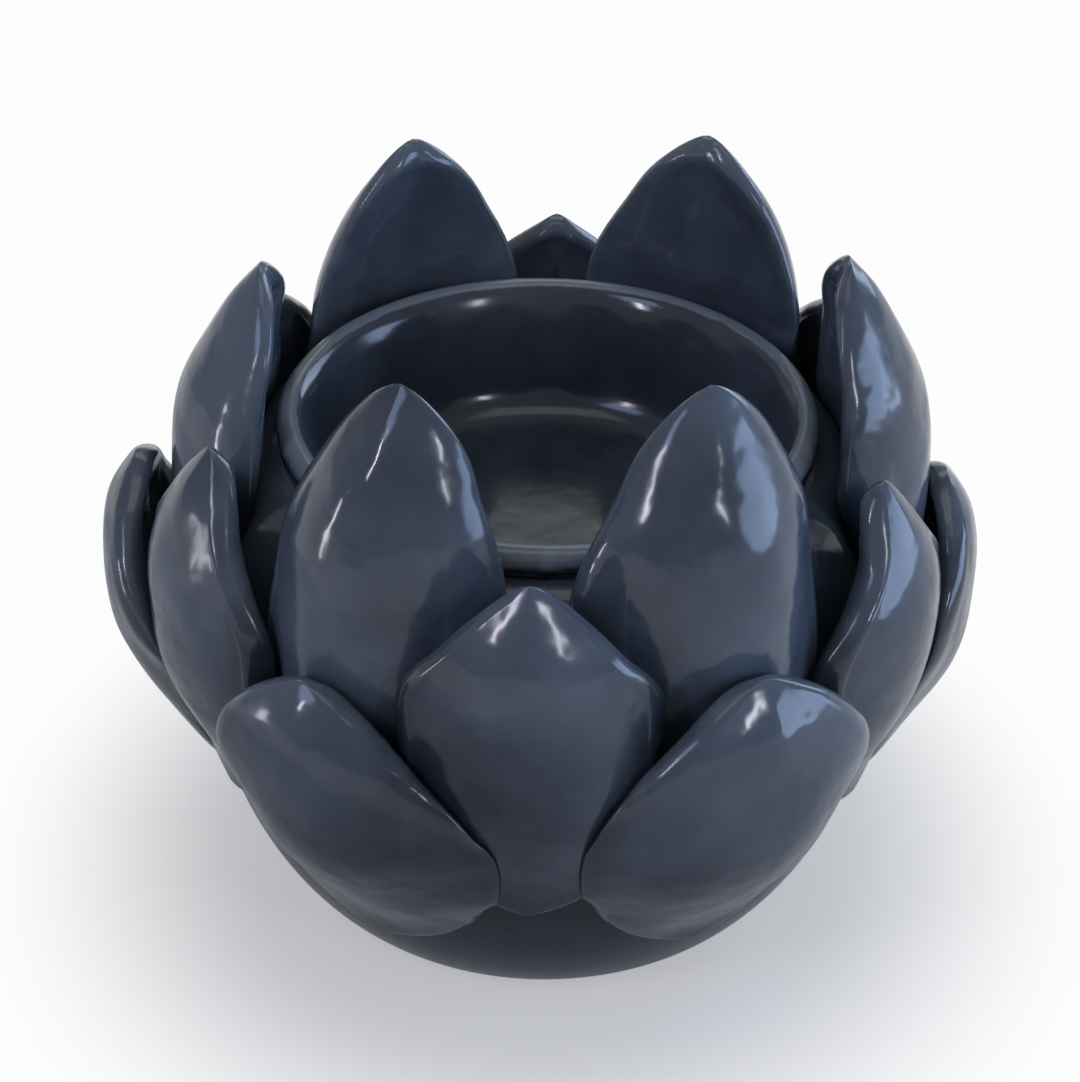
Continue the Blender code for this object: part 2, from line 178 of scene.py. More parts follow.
def glossySlateGlaze(name, paintedShadeValue, waviness, rimBreakAndReflectionStrength=0.30):
    # dipped and fired glaze on stoneware: a glassy skin over a coat whose depth drifts, so it gives the eye
    # clean window-like reflections, a darker joint and a paler rim; painted shade darkens it towards the
    # foot, and the cup and bowl all over by the value argument; on the cup's lip the paler rim is a painted
    # reflection
    look = glazeLook
    material = bpy.data.materials.new(name)
    material.use_nodes = True
    tree = material.node_tree
    shader = tree.nodes["Principled BSDF"]
    place = addNode(tree, "ShaderNodeTexCoord").outputs["Object"]
    height = addNode(tree, "ShaderNodeSeparateXYZ", {"Vector": place}).outputs["Z"]
    rim = addNode(tree, "ShaderNodeAttribute", attribute_name="rimBreakAndReflectionShare").outputs["Fac"]
    joint = addNode(tree, "ShaderNodeAttribute", attribute_name="jointShare").outputs["Fac"]

    clouds = addNode(tree, "ShaderNodeTexNoise", {"Vector": place}, Scale=1000.0 / look["cloudMm"],
                     Detail=4.0, Roughness=0.55)
    # painted shade: the coat is darkened towards the foot and lightened a little higher up
    heightShade = addNode(tree, "ShaderNodeMapRange", {"Value": height}, From_Min=0.0, From_Max=look["heightShadeTop"],
                  To_Min=look["heightShade"][0], To_Max=look["heightShade"][1])
    drift = addNode(tree, "ShaderNodeMath", {0: clouds.outputs["Fac"], 1: heightShade.outputs["Result"]},
                    operation="ADD")
    coat = addNode(tree, "ShaderNodeValToRGB", {"Fac": drift.outputs[0]},
                   zip(look["coatSpan"], (look["thick"], look["thin"])))
    # painted shade: this value darkens the whole copy, for the cup's well and the globe under the petals
    shade = addNode(tree, "ShaderNodeHueSaturation", {"Color": coat.outputs["Color"]}, Value=paintedShadeValue)

    broken = addNode(tree, "ShaderNodeTexNoise", {"Vector": place}, Scale=1000.0 / look["brokenMm"],
                     Detail=3.0)
    # paler rims: glaze breaking over the petals' edges, and on the cup's lip a painted reflection
    rimEdge = addNode(tree, "ShaderNodeMath", {0: rim, 1: broken.outputs["Fac"]}, operation="MULTIPLY")
    rimFade = addNode(tree, "ShaderNodeValToRGB", {"Fac": rimEdge.outputs[0]},
                      zip(look["rimSpan"], (0.0, rimBreakAndReflectionStrength)))
    rimmed = addNode(tree, "ShaderNodeMix", {0: rimFade.outputs["Color"], 6: shade.outputs["Color"]},
                     data_type="RGBA")
    rimmed.inputs[7].default_value = linearColour(look["edge"])
    jointFade = addNode(tree, "ShaderNodeValToRGB", {"Fac": joint},
                        zip(look["jointSpan"], (0.0, look["jointDark"])))
    pooled = addNode(tree, "ShaderNodeMix", {0: jointFade.outputs["Color"], 6: rimmed.outputs[2]},
                     data_type="RGBA")
    pooled.inputs[7].default_value = linearColour(look["pooled"])
    specks = addNode(tree, "ShaderNodeTexVoronoi", {"Vector": place}, Scale=1000.0 / look["speckMm"])
    speckFade = addNode(tree, "ShaderNodeValToRGB", {"Fac": specks.outputs["Distance"]},
                        zip(look["speckSpan"], (look["speckDark"], 0.0)))
    specked = addNode(tree, "ShaderNodeMix", {0: speckFade.outputs["Color"], 6: pooled.outputs[2]},
                      data_type="RGBA")
    specked.inputs[7].default_value = linearColour(look["speck"])
    tree.links.new(specked.outputs[2], shader.inputs["Base Color"])

    haze = addNode(tree, "ShaderNodeTexNoise", {"Vector": place}, Scale=1000.0 / look["hazeMm"], Detail=5.0)
    gloss = addNode(tree, "ShaderNodeMapRange", {"Value": haze.outputs["Fac"]},
                    From_Min=look["hazeSpan"][0], From_Max=look["hazeSpan"][1],
                    To_Min=look["roughness"][0], To_Max=look["roughness"][1])
    tree.links.new(gloss.outputs["Result"], shader.inputs["Roughness"])

    calm = addNode(tree, "ShaderNodeMapRange", {"Value": height}, From_Min=look["calmHeight"][0],
                   From_Max=look["calmHeight"][1], To_Min=look["calm"], To_Max=1.0)
    wave = addNode(tree, "ShaderNodeTexNoise", {"Vector": place}, Scale=1000.0 / look["waveMm"], Detail=1.0)
    waveBump = addNode(tree, "ShaderNodeBump", {
        "Height": wave.outputs["Fac"], "Strength": calm.outputs["Result"],
    }, Distance=look["waveHeight"] * waviness)
    ripple = addNode(tree, "ShaderNodeTexNoise", {"Vector": place}, Scale=1000.0 / look["rippleMm"],
                     Detail=1.0)
    rippleBump = addNode(tree, "ShaderNodeBump", {
        "Height": ripple.outputs["Fac"], "Strength": calm.outputs["Result"],
        "Normal": waveBump.outputs["Normal"],
    }, Distance=look["rippleHeight"] * waviness)
    skin = addNode(tree, "ShaderNodeTexNoise", {"Vector": place}, Scale=1000.0 / look["skinMm"], Detail=1.0)
    skinBump = addNode(tree, "ShaderNodeBump", {
        "Height": skin.outputs["Fac"], "Normal": rippleBump.outputs["Normal"],
    }, Strength=1.0, Distance=look["skinHeight"])
    tree.links.new(skinBump.outputs["Normal"], shader.inputs["Normal"])
    shader.inputs["IOR"].default_value = look["ior"]
    shader.inputs["Metallic"].default_value = 0.0
    return material


footLook = {
    "dark": "#8d7b68",
    "light": "#b7a68f",
    "gritSpan": (0.35, 0.65),
    "gritMm": 1.1,           # sand and grog, twice as coarse as real, or they wouldn't show
    "gritHeight": 0.00008,
    "roughness": 0.85,
}


def bareStoneware():
    # fired clay with no glaze, as the wiped foot shows it: buff, matt and gritty
    look = footLook
    material = bpy.data.materials.new("bareStoneware")
    material.use_nodes = True
    tree = material.node_tree
    shader = tree.nodes["Principled BSDF"]
    place = addNode(tree, "ShaderNodeTexCoord").outputs["Object"]
    grit = addNode(tree, "ShaderNodeTexNoise", {"Vector": place}, Scale=1000.0 / look["gritMm"], Detail=6.0)
    colour = addNode(tree, "ShaderNodeValToRGB", {"Fac": grit.outputs["Fac"]},
                     zip(look["gritSpan"], (look["dark"], look["light"])))
    tree.links.new(colour.outputs["Color"], shader.inputs["Base Color"])
    bump = addNode(tree, "ShaderNodeBump", {"Height": grit.outputs["Fac"]}, Strength=1.0,
                   Distance=look["gritHeight"])
    tree.links.new(bump.outputs["Normal"], shader.inputs["Normal"])
    shader.inputs["Roughness"].default_value = look["roughness"]
    return material


# the cup's and the bowl's copies are darker as painted shade, in the well and on the globe under the
# petals; the cup's lip gets a full painted reflection
petalGlaze = glossySlateGlaze("glossySlateGlazePetals", paintedShadeValue=1.0, waviness=1.0)
cupGlaze = glossySlateGlaze("glossySlateGlazeCup", paintedShadeValue=0.55, waviness=0.12, rimBreakAndReflectionStrength=1.0)
bowlGlaze = glossySlateGlaze("glossySlateGlazeBowl", paintedShadeValue=0.85, waviness=0.6)
bareClay = bareStoneware()
print("materials made")


# Candle cup

cup = {
    "lipRoll": 0.0020,
    "lipEase": 0.0034,       # how far inwards the roll runs out flat
    "lipReflectionDepth": 0.0040,       # how far down the painted reflection along the lip fades out
    "lipReflectionFade": 0.0010,       # over what width it fades in, outwards from the well
    "lipReflectionFadeStart": 0.4,     # and how many such widths out that starts
    "lipReflectionStrength": 2.0,      # over 1, so that few patches of it stay dark
    "wall": 0.0026,
    "wallRise": (0.0011, 0.0050),    # how the inner wall leaves the corner, outwards and up
    "floor": 0.0045,
    "wellDepth": 0.0200,
    "wellTaper": 0.0035,
    "wellCorner": 0.0060,
    "steps": 180,
    "wobble": 0.00015,
}
mouth = {  # where the cup sits in the bowl
    "gap": 0.0003,
    "bowlWall": 0.0045,
}
wellRadius = lipRadius - 2 * cup["lipRoll"]
cupRadius = wellRadius + cup["wall"]
mouthRadius = cupRadius + mouth["gap"]
shoulderHeight = rimHeight - 2 * cup["lipRoll"] - mouth["gap"]


def cupSection():
    floor = rimHeight - cup["wellDepth"]
    floorRadius = wellRadius - cup["wellTaper"]
    corner = cup["wellCorner"]
    cornerCentre = (floorRadius - corner, floor + corner)
    floorSteps = 12
    well = [(cornerCentre[0] * i / floorSteps, floor) for i in range(floorSteps)]
    well += arc(cornerCentre, corner, first=-90, last=-14, count=12)
    start = well[-1]
    lipCentre = (lipRadius - cup["lipRoll"], rimHeight - cup["lipRoll"])
    innerWall = curve(start, (start[0] + cup["wallRise"][0], start[1] + cup["wallRise"][1]),
                      (lipCentre[0] - cup["lipEase"], rimHeight), (lipCentre[0], rimHeight), count=34)
    lip = arc(lipCentre, cup["lipRoll"], first=84, last=-75, count=20)
    outerWall = [(cupRadius, shoulderHeight + mouth["gap"]),
                 (cupRadius, shoulderHeight - mouth["bowlWall"])]
    underCorner = corner + 0.5 * cup["wall"]
    underCentre = (floorRadius + cup["wall"] - underCorner, floor - cup["floor"] + underCorner)
    under = arc(underCentre, underCorner, first=0, last=-90, count=6) + [(0.0, floor - cup["floor"])]
    return well + innerWall[1:] + lip + outerWall + under


cupMesh = turn(cupSection(), cup["steps"], cup["wobble"])
cupPiece = addPiece("candle_cup_glazed", cupMesh, "candle_cup", cupGlaze)
lipReflectionLayer = cupPiece.data.attributes.new("rimBreakAndReflectionShare", "FLOAT", "POINT")
for vert in cupPiece.data.vertices:  # painted reflection: a pale band along the top of the lip
    radius, below = math.hypot(vert.co.x, vert.co.y), rimHeight - vert.co.z
    paintedReflection = cup["lipReflectionStrength"] * (1.0 - ease(below / cup["lipReflectionDepth"]))
    paintedReflection *= ease((radius - wellRadius) / cup["lipReflectionFade"] - cup["lipReflectionFadeStart"])
    lipReflectionLayer.data[vert.index].value = paintedReflection
print("cup turned")


# Bowl body

bowl = {
    "widestHeight": 0.0400,
    "shoulderWidth": 0.0075,
    "footRadius": 0.0345,
    "footWidth": 0.0045,
    "footDepth": 0.0018,
    "footFlare": 0.0075,     # how far the globe goes on outwards above the foot
    "footSlope": 0.4,
    "footUndercut": 0.0004,
    "bareHeight": 0.0004,    # how far up the foot is wiped
    "ventRadius": 0.0030,
    "ventEdge": 0.0003,
    "steps": 180,
    "wobble": 0.00020,
}


def globeOutline(inset=0.0):
    top = (mouthRadius, shoulderHeight - inset)
    widest = (bodyRadius - inset, bowl["widestHeight"])
    foot = (bowl["footRadius"] - inset, inset)
    topHandle = (top[0] + bowl["shoulderWidth"], top[1])
    footHandle = (foot[0] + bowl["footFlare"], foot[1] + bowl["footSlope"] * bowl["footFlare"])
    upper = curve(top, topHandle, (widest[0], 0.5 * (widest[1] + top[1])), widest, count=26)
    lower = curve(widest, (widest[0], 0.5 * (widest[1] + foot[1])), footHandle, foot, count=30)
    return upper + lower[1:]


def bowlSection():
    floor = bowl["footDepth"] + mouth["bowlWall"]
    footInner = bowl["footRadius"] - bowl["footWidth"]
    foot = [(footInner, 0.0), (footInner - bowl["footUndercut"], bowl["footDepth"])]
    vent = [(bowl["ventRadius"] + bowl["ventEdge"], bowl["footDepth"]),
            (bowl["ventRadius"], bowl["footDepth"] + bowl["ventEdge"]),
            (bowl["ventRadius"], floor)]
    inside = [point for point in reversed(globeOutline(mouth["bowlWall"])) if point[1] > floor]
    return globeOutline() + foot + vent + inside


def globeRadius(height):
    outline = globeOutline()
    for (r0, z0), (r1, z1) in zip(outline, outline[1:]):
        if z1 <= height <= z0:
            return r0 + (r1 - r0) * (height - z0) / (z1 - z0)
    return mouthRadius if height > shoulderHeight else bowl["footRadius"]


bowlMesh = turn(bowlSection(), bowl["steps"], bowl["wobble"])
bowlPiece = addPiece("bowl_body_glazed", bowlMesh, "bowl_body", bowlGlaze)
bowlPiece.data.materials.append(bareClay)
for face in bowlPiece.data.polygons:  # the foot ring is wiped clean of glaze before the firing
    if face.center.z < bowl["bareHeight"]:
        face.material_index = 1
print("bowl turned")


# Petals

petalRows = {
    # tip: beyond the lip and above the rim; belly: beyond the globe and below the rim; widest, freeLength:
    # how far down from the tip; seatEase: length over which the free part becomes a seated one;
    # edgeSoftness: how wide an edge's rounding is as a share of its thickness
    "inner_petal": {
        "firstTurn": 30.0, "tip": (0.0022, 0.0242), "tipLean": 42.0, "belly": (0.0040, 0.0115),
        "baseHeight": 0.0395, "width": 0.0370, "widest": 0.0320, "sharpness": 0.66, "dome": 0.0135,
        "ridge": 0.7, "thickness": 0.0125, "edgeSoftness": 1.2, "freeLength": 0.0300, "seatEase": 0.0080,
        "pressed": 0.0, "pressPower": 4.0,
    },
    "middle_petal": {
        "firstTurn": 0.0, "tip": (0.0130, 0.0040), "tipLean": 40.0, "belly": (0.0090, 0.0215),
        "baseHeight": 0.0300, "width": 0.0350, "widest": 0.0185, "sharpness": 0.85, "dome": 0.0090,
        "ridge": 1.0, "thickness": 0.0080, "edgeSoftness": 0.6, "freeLength": 0.0240, "seatEase": 0.0160,
        "pressed": 0.0, "pressPower": 4.0,
    },
    "lower_petal": {
        "firstTurn": 30.0, "tip": (0.0205, -0.0104), "tipLean": 45.0, "belly": (0.0136, 0.0310),
        "baseHeight": 0.0172, "width": 0.0435, "widest": 0.0290, "sharpness": 0.70, "dome": 0.0080,
        "ridge": 0.7, "thickness": 0.0080, "edgeSoftness": 0.8, "freeLength": 0.0230, "seatEase": 0.0080,
        "pressed": 0.85, "pressPower": 2.2,
    },
}
evenPetal = {  # what a single petal may add to its row, lengths in metres
    "turn": 0.0,             # degrees round the holder, to the right in front
    "sway": 0.0,             # tip moved the same way
    "lift": 0.0,             # tip raised
    "lean": 0.0,             # degrees that the tip bends further in
    "stand": 0.0,            # tip and belly further out
    "tipOut": 0.0,           # tip alone
    "belly": 0.0,            # belly alone
    "heel": 0.0,             # base alone
    "foot": 0.0,             # base raised
    "widen": 0.0,
    "widest": 0.0,           # widest further down
    "point": 0.0,            # more pointed
    "squareEnd": 0.0,        # lower end less round
    "dome": 0.0,
    "free": 0.0,             # longer free part
}
handSet = {  # how single petals differ from the even ring, as the photograph shows them
    "inner_petal_1": {"turn": -2.2, "sway": 0.0010},
    "inner_petal_2": {"lift": -0.0004, "point": -0.08, "dome": -0.0005},
    "inner_petal_3": {"turn": -2.5, "sway": -0.0015, "lift": 0.0020, "widen": 0.0020},
    "inner_petal_4": {"turn": 0.6},
    "inner_petal_5": {"lift": -0.0028, "stand": -0.0009, "point": -0.08, "dome": -0.0005},
    "inner_petal_6": {"turn": 0.3, "sway": 0.0022, "widen": -0.0020},
    "middle_petal_1": {"turn": -1.8, "sway": -0.0003, "tipOut": 0.0022, "lift": 0.0018, "lean": 4.0,
                       "belly": 0.0011, "heel": 0.0034, "foot": 0.0022, "squareEnd": 4.0, "widest": 0.0028,
                       "point": 0.10},
    "middle_petal_2": {"point": 0.50, "widest": 0.0070, "free": 0.0100},
    "middle_petal_4": {"sway": -0.0010, "point": 0.10},
    "middle_petal_6": {"lift": 0.0035, "point": 0.25, "widest": 0.0085, "free": 0.0110},
    "lower_petal_1": {"turn": -3.0, "sway": 0.0012, "lift": 0.0010, "widen": 0.0015},
    "lower_petal_2": {"stand": -0.0012},
    "lower_petal_5": {"lift": 0.0008, "stand": 0.0006},
    "lower_petal_6": {"turn": 3.0, "sway": -0.0048, "lift": -0.0018},
}
clay = {  # what all petals share
    "perRow": 6,
    "heartHeight": 0.7,      # of the point that they are pressed towards, as a share of the rim's
    "edgeThickness": 0.0036,
    "tipRounding": 0.0030,
    "crown": 2.2,            # power by which the thickness falls off towards the sides
    "domePower": 2.3,
    "endPower": 2.4,
    "feather": 0.6,          # how much thinner the base is smoothed out
    "flattened": 0.45,       # how much of the dome is lost there
    "baseStandoff": 0.0018,
    "leastCover": 0.0044,    # clay that stays over what stands high under it
    "pressStart": 0.6,       # the higher, the nearer the edge that a row starts to be pressed thinner
    "pressShare": 0.8,       # how far fingers press a seated edge down
    "luted": -0.0002,        # the back sinks this far into the slip on what it lies on
    "deepestSeat": 0.0025,   # a gap that is deeper stays open
    "drapeAngle": 0.03,      # how far round itself the clay feels what is under it
    "thumbed": 0.00055,      # height of the hollows that fingers leave
    "thumbedMm": 12.0,
    "thumbFade": (0.006, 0.015),     # over which they fade out at tip and base
    "rimWidth": 0.0022,      # of the glaze that breaks along an edge
    "backRim": 0.2,          # and its share on the back, which starts at this depth
    "backDepth": 0.9,
    "jointWidth": 0.004,     # of the glaze that gathers in a joint
    "jointEdge": (3.0, 1.6),     # and how it keeps to the edges
    "handles": (0.42, 0.45, 0.40, 0.35),     # of the midline's curves, from tip to base
    "stations": 52,          # rings from tip to base
    "crowding": 0.3,         # how much closer they lie at both ends
    "across": 31,            # points across a face
    "edgeCrowding": 0.48,    # how much closer they lie towards its edges
    "edgePoints": 7,         # points round the bead of an edge
    "spreadRounds": 60,      # how far a lift spreads through the clay
    "liftRounds": 6,         # and how often it, the ground and the face are smoothed
    "groundRounds": 24,
    "faceRounds": 10,
}
heart = Vector((0.0, 0.0, clay["heartHeight"] * rimHeight))


def petalLine(row, hand):
    # midline from tip to base as dense points with the distance down to each
    tip = (lipRadius + row["tip"][0] + hand["stand"] + hand["tipOut"],
           rimHeight + row["tip"][1] + hand["lift"])
    belly = (bodyRadius + row["belly"][0] + hand["stand"] + hand["belly"], rimHeight - row["belly"][1])
    height = row["baseHeight"] + hand["foot"]
    base = (globeRadius(height) + clay["baseStandoff"] + hand["heel"], height)
    step = 0.001
    flare = (globeRadius(height + step) - globeRadius(height)) / step
    lean = math.radians(row["tipLean"] + hand["lean"])
    rise, fall = tip[1] - belly[1], belly[1] - base[1]
    underTip, overBelly, underBelly, overBase = clay["handles"]
    tipHandle = (tip[0] + underTip * rise * math.sin(lean), tip[1] - underTip * rise * math.cos(lean))
    baseHandle = (base[0] + overBase * fall * flare, base[1] + overBase * fall)
    upper = curve(tip, tipHandle, (belly[0], belly[1] + overBelly * rise), belly, count=60)
    lower = curve(belly, (belly[0], belly[1] - underBelly * fall), baseHandle, base, count=60)
    points = upper + lower[1:]
    along = [0.0]
    for a, b in zip(points, points[1:]):
        along.append(along[-1] + math.dist(a, b))
    return points, along


def petalNodes(row, hand, turnDegrees):
    # rings of nodes, each with its place, its share of the depth, its thickness, its share across, the
    # length down to it, the half width there and the clay that has to stay over what is under it
    points, along = petalLine(row, hand)
    length = along[-1]
    width = row["width"] + hand["widen"]
    widest = row["widest"] + hand["widest"]
    sharpness = row["sharpness"] + hand["point"]
    endPower = clay["endPower"] + hand["squareEnd"]
    spin = Matrix.Rotation(math.radians(turnDegrees), 3, "Z")

    def baseness(down):
        return ease((down - widest) / (length - widest))

    def feathering(down):
        return 1.0 - clay["feather"] * baseness(down)

    def halfWidth(down):
        if down < widest:
            pointed = 0.5 * width * math.sin(0.5 * math.pi * (down / widest) ** sharpness)
            blunt = 2.0 * clay["tipRounding"] * down * (1.0 - ease(down / (4.0 * clay["tipRounding"])))
            return math.sqrt(pointed ** 2 + blunt)
        return 0.5 * width * math.sqrt(max(0.0, 1.0 - ((down - widest) / (length - widest)) ** endPower))

    def thickness(down, side):
        end = min(down, length - down)
        rounding = math.sqrt(1.0 - (1.0 - min(1.0, 2.0 * end / clay["edgeThickness"])) ** 2)
        share = min(1.0, abs(side) / max(halfWidth(down), 1e-6))
        extra = (row["thickness"] - clay["edgeThickness"]) * ease(0.5 * end / row["thickness"])
        full = clay["edgeThickness"] + extra * (1.0 - share ** clay["crown"])
        return rounding * full * feathering(down)

    def outerFace(down, side):
        i = min(len(along) - 2, max(0, int(np.searchsorted(along, down)) - 1))
        a, b = points[i], points[i + 1]
        share = (down - along[i]) / (along[i + 1] - along[i])
        span = math.dist(a, b)
        normal = ((a[1] - b[1]) / span, (b[0] - a[0]) / span)
        radius, height = a[0] + (b[0] - a[0]) * share, a[1] + (b[1] - a[1]) * share
        ridge = 1.0 - ease(down / widest)
        dome = (row["dome"] + hand["dome"]) * (1.0 - clay["flattened"] * baseness(down))
        drop = dome * abs(2.0 * side / width) ** (clay["domePower"] - row["ridge"] * ridge)
        sway = hand["sway"] * (1.0 - ease(2.0 * down / length))
        return spin @ Vector((side + sway, drop * normal[0] - radius, height - drop * normal[1]))

    def leastCover(down, side, half):
        pressed = ease((1.0 + clay["pressStart"]) * abs(side) / half - clay["pressStart"])
        return clay["leastCover"] * feathering(down) * (1.0 - row["pressed"] * pressed)

    rings = []
    crowding, across, edgePoints = clay["crowding"], clay["across"], clay["edgePoints"]
    fan = [clay["edgeCrowding"] * math.pi * (2.0 * i / (across - 1) - 1.0) for i in range(across)]
    spread = [math.sin(angle) for angle in fan]
    for k in range(clay["stations"]):
        share = (k + 0.5) / clay["stations"]
        down = length * (crowding - crowding * math.cos(math.pi * share) + (1.0 - 2.0 * crowding) * share)
        half = halfWidth(down)
        bead = min(row["edgeSoftness"] * thickness(down, half), 0.5 * half)
        sides = [(half - bead) * s / spread[-1] for s in spread]
        angles = [math.pi * (i + 1) / (edgePoints + 1) for i in range(edgePoints)]
        edge = [(half - bead + bead * math.sin(a), 0.5 - 0.5 * math.cos(a)) for a in angles]
        outline = [(side, 0.0) for side in sides] + edge + [(side, 1.0) for side in reversed(sides)]
        outline += [(-side, depth) for side, depth in reversed(edge)]
        rings.append([
            (outerFace(down, side), depth, thickness(down, side), min(1.0, abs(side) / half), down, half,
             leastCover(down, side, half))
            for side, depth in outline
        ])
    ends = [outerFace(0.0, 0.0), outerFace(length, 0.0)]
    return rings, ends, length


def ground(point, under, around=0.0):
    # how far from the heart the surface under a point lies, or the highest of it around
    out = (point - heart).normalized()
    side = out.cross(Vector((0.0, 0.0, 1.0))).normalized()
    ways = [out]
    if around:
        ways += [out + around * way for way in (side, -side, side.cross(out), out.cross(side))]
    hits = [under.ray_cast(heart + way.normalized(), -way.normalized())[0] for way in ways]
    return max([(hit - heart).length + clay["luted"] for hit in hits if hit], default=0.0)


def spreadOut(field, rounds, keep):
    # average with the neighbours along and round the rings; with keep, never below its own value
    for _ in range(rounds):
        above = np.vstack((field[:1], field[:-1]))
        below = np.vstack((field[1:], field[-1:]))
        mean = (above + below + np.roll(field, 1, axis=1) + np.roll(field, -1, axis=1)) / 4.0
        field = np.maximum(field, mean) if keep else mean
    return field


def pinchedPetal(row, hand, turnDegrees, under, seed):
    rings, ends, length = petalNodes(row, hand, turnDegrees)
    place = np.array([[node[0][:] for node in ring] for ring in rings])
    fields = [np.array([[node[i] for node in ring] for ring in rings]) for i in range(1, 7)]
    depth, thick, across, down, half, cover = fields
    away = place - np.array(heart[:])
    reach = np.linalg.norm(away, axis=2)
    way = away / reach[..., None]
    draped = np.array([[ground(node[0], under, clay["drapeAngle"]) for node in ring] for ring in rings])
    plain = np.array([[ground(node[0], under) for node in ring] for ring in rings])
    cover = np.minimum(thick, cover)

    # the outer face is lifted over what lies under it, and its seated edges are pressed down
    lift = np.maximum(0.0, np.where(draped > 0, draped + cover - reach, 0.0))
    lift = spreadOut(spreadOut(lift, clay["spreadRounds"], True), clay["liftRounds"], False)
    free = row["freeLength"] + hand["free"]
    seat = np.where(draped > 0, smooth(np.clip((down - free) / row["seatEase"] + 0.5, 0.0, 1.0)), 0.0)
    outer = reach + lift
    over = np.maximum(0.0, outer - cover - spreadOut(draped, clay["groundRounds"], True))
    outer -= clay["pressShare"] * seat * across ** row["pressPower"] * over
    outer = reach + spreadOut(outer - reach, clay["faceRounds"], False)
    thumbs = np.array([[noise.noise(node[0] * (1000.0 / clay["thumbedMm"]) + Vector((seed, 0, 0)))
                        for node in ring] for ring in rings])
    fromTip = np.minimum(1.0, down / clay["thumbFade"][0])
    fromBase = np.clip((length - down) / clay["thumbFade"][1], 0.0, 1.0)
    outer += clay["thumbed"] * thumbs * fromTip * fromBase

    # the back lies on it, but not in what is too deep to fill
    back = np.maximum(outer - thick, np.minimum(draped, outer - cover))
    drop = np.maximum(0.0, back - plain)
    deep = np.clip(drop / clay["deepestSeat"] - 1.0, 0.0, 1.0)
    back -= seat * drop * (1.0 - smooth(deep))
    nodes = np.array(heart[:]) + way * (outer + (back - outer) * depth)[..., None]

    bm = bmesh.new()
    rimLayer = bm.verts.layers.float.new("rimBreakAndReflectionShare")
    jointLayer = bm.verts.layers.float.new("jointShare")
    rimBreakAndReflectionShare = np.clip(1.0 - (1.0 - across) * half / clay["rimWidth"], 0.0, 1.0)
    rimBreakAndReflectionShare *= np.where(depth < clay["backDepth"], 1.0, clay["backRim"])
    gap = outer - cover - plain
    jointShare = np.where(plain > 0, np.clip(1.0 - gap / clay["jointWidth"], 0.0, 1.0), 0.0)
    jointShare *= np.clip(across * clay["jointEdge"][0] - clay["jointEdge"][1], 0.0, 1.0)
    loops = []
    for k, ring in enumerate(nodes):
        loop = []
        for j, node in enumerate(ring):
            vert = bm.verts.new(node)
            vert[rimLayer] = float(rimBreakAndReflectionShare[k, j])
            vert[jointLayer] = float(jointShare[k, j])
            loop.append(vert)
        loops.append(loop)
    for first, second in zip(loops, loops[1:]):
        for j in range(len(first)):
            bm.faces.new((first[j - 1], first[j], second[j], second[j - 1]))
    for loop, end in zip((loops[0], loops[-1]), ends):
        middle = sum((vert.co for vert in loop), Vector()) / len(loop)
        out = max((end - heart).length, (middle - heart).length)
        pole = bm.verts.new(heart + (end - heart).normalized() * out)
        pole[rimLayer] = 1.0
        for j in range(len(loop)):
            bm.faces.new((loop[j - 1], loop[j], pole))
    bmesh.ops.recalc_face_normals(bm, faces=bm.faces)
    return bm


def surfaceTree(objects):
    bm = bmesh.new()
    for obj in objects:
        bm.from_mesh(obj.data)
    tree = BVHTree.FromBMesh(bm)
    bm.free()
    return tree


laidPieces = [bowlPiece, cupPiece]
for rowName, row in petalRows.items():
    under = surfaceTree(laidPieces)
    for i in range(clay["perRow"]):
        name = f"{rowName}_{i + 1}"
        hand = {**evenPetal, **handSet.get(name, {})}
        turned = row["firstTurn"] + 360.0 * i / clay["perRow"] + hand["turn"]
        seed = 7.0 * len(laidPieces)  # far enough along the noise that no two petals have the same hollows
        bm = pinchedPetal(row, hand, turned, under, seed)
        laidPieces.append(addPiece(name + "_glazed", bm, name, petalGlaze))
    print(rowName, "row laid")


# Floor, light and camera

studio = {
    "floorColour": "#c2c2c2",
    "floorSize": 13.0,
    "floorHeight": -0.0002,    # just under the foot
    "sweepHeight": 0.45,
    "floorGlow": 0.96,         # share of the floor that a viewer sees as plain white
    # up to the first distance it keeps the third value's share of that, so that the shadow shows, and from
    # the second distance on all of it
    "seenShadow": (0.046, 0.092, 0.40),
    "mirroredShadow": (0.120, 0.260, 0.05),
    "mirroredCentre": (-0.090, 0.0, 0.0),    # the glaze mirrors the shadow round this place
    "worldLevel": 0.40,
    "lamps": {
        # azimuth from the front, + to the right, elevation, distance, width, height, radiance and tint
        "frontLeft": (-46.0, 31.0, 0.80, 0.04, 0.17, 46.0, "#f0eaff"),
        "frontRight": (36.0, 27.0, 0.80, 0.04, 0.15, 40.0, "#f4f8ff"),
        "leftLow": (-74.0, 2.0, 0.80, 0.035, 0.22, 26.0, "#f4f2ff"),
        "rightLow": (80.0, 10.0, 0.90, 0.74, 0.34, 7.5, "#b8d4ff"),
        "overhead": (0.0, 82.0, 1.20, 0.90, 0.50, 1.2, "#ffffff"),
        "rightBack": (138.0, 18.0, 0.90, 0.46, 0.36, 5.2, "#c4dbff"),
        "leftHigh": (-48.0, 44.0, 1.00, 0.30, 0.24, 6.0, "#b4ccff"),
        "leftWide": (-66.0, 12.0, 0.90, 0.46, 0.30, 0.1, "#d0e0ff"),
        "backHigh": (178.0, 46.0, 1.20, 1.00, 0.50, 1.6, "#f4fff8"),
    },
    "lampAim": (0.0, 0.0, 0.06),
}


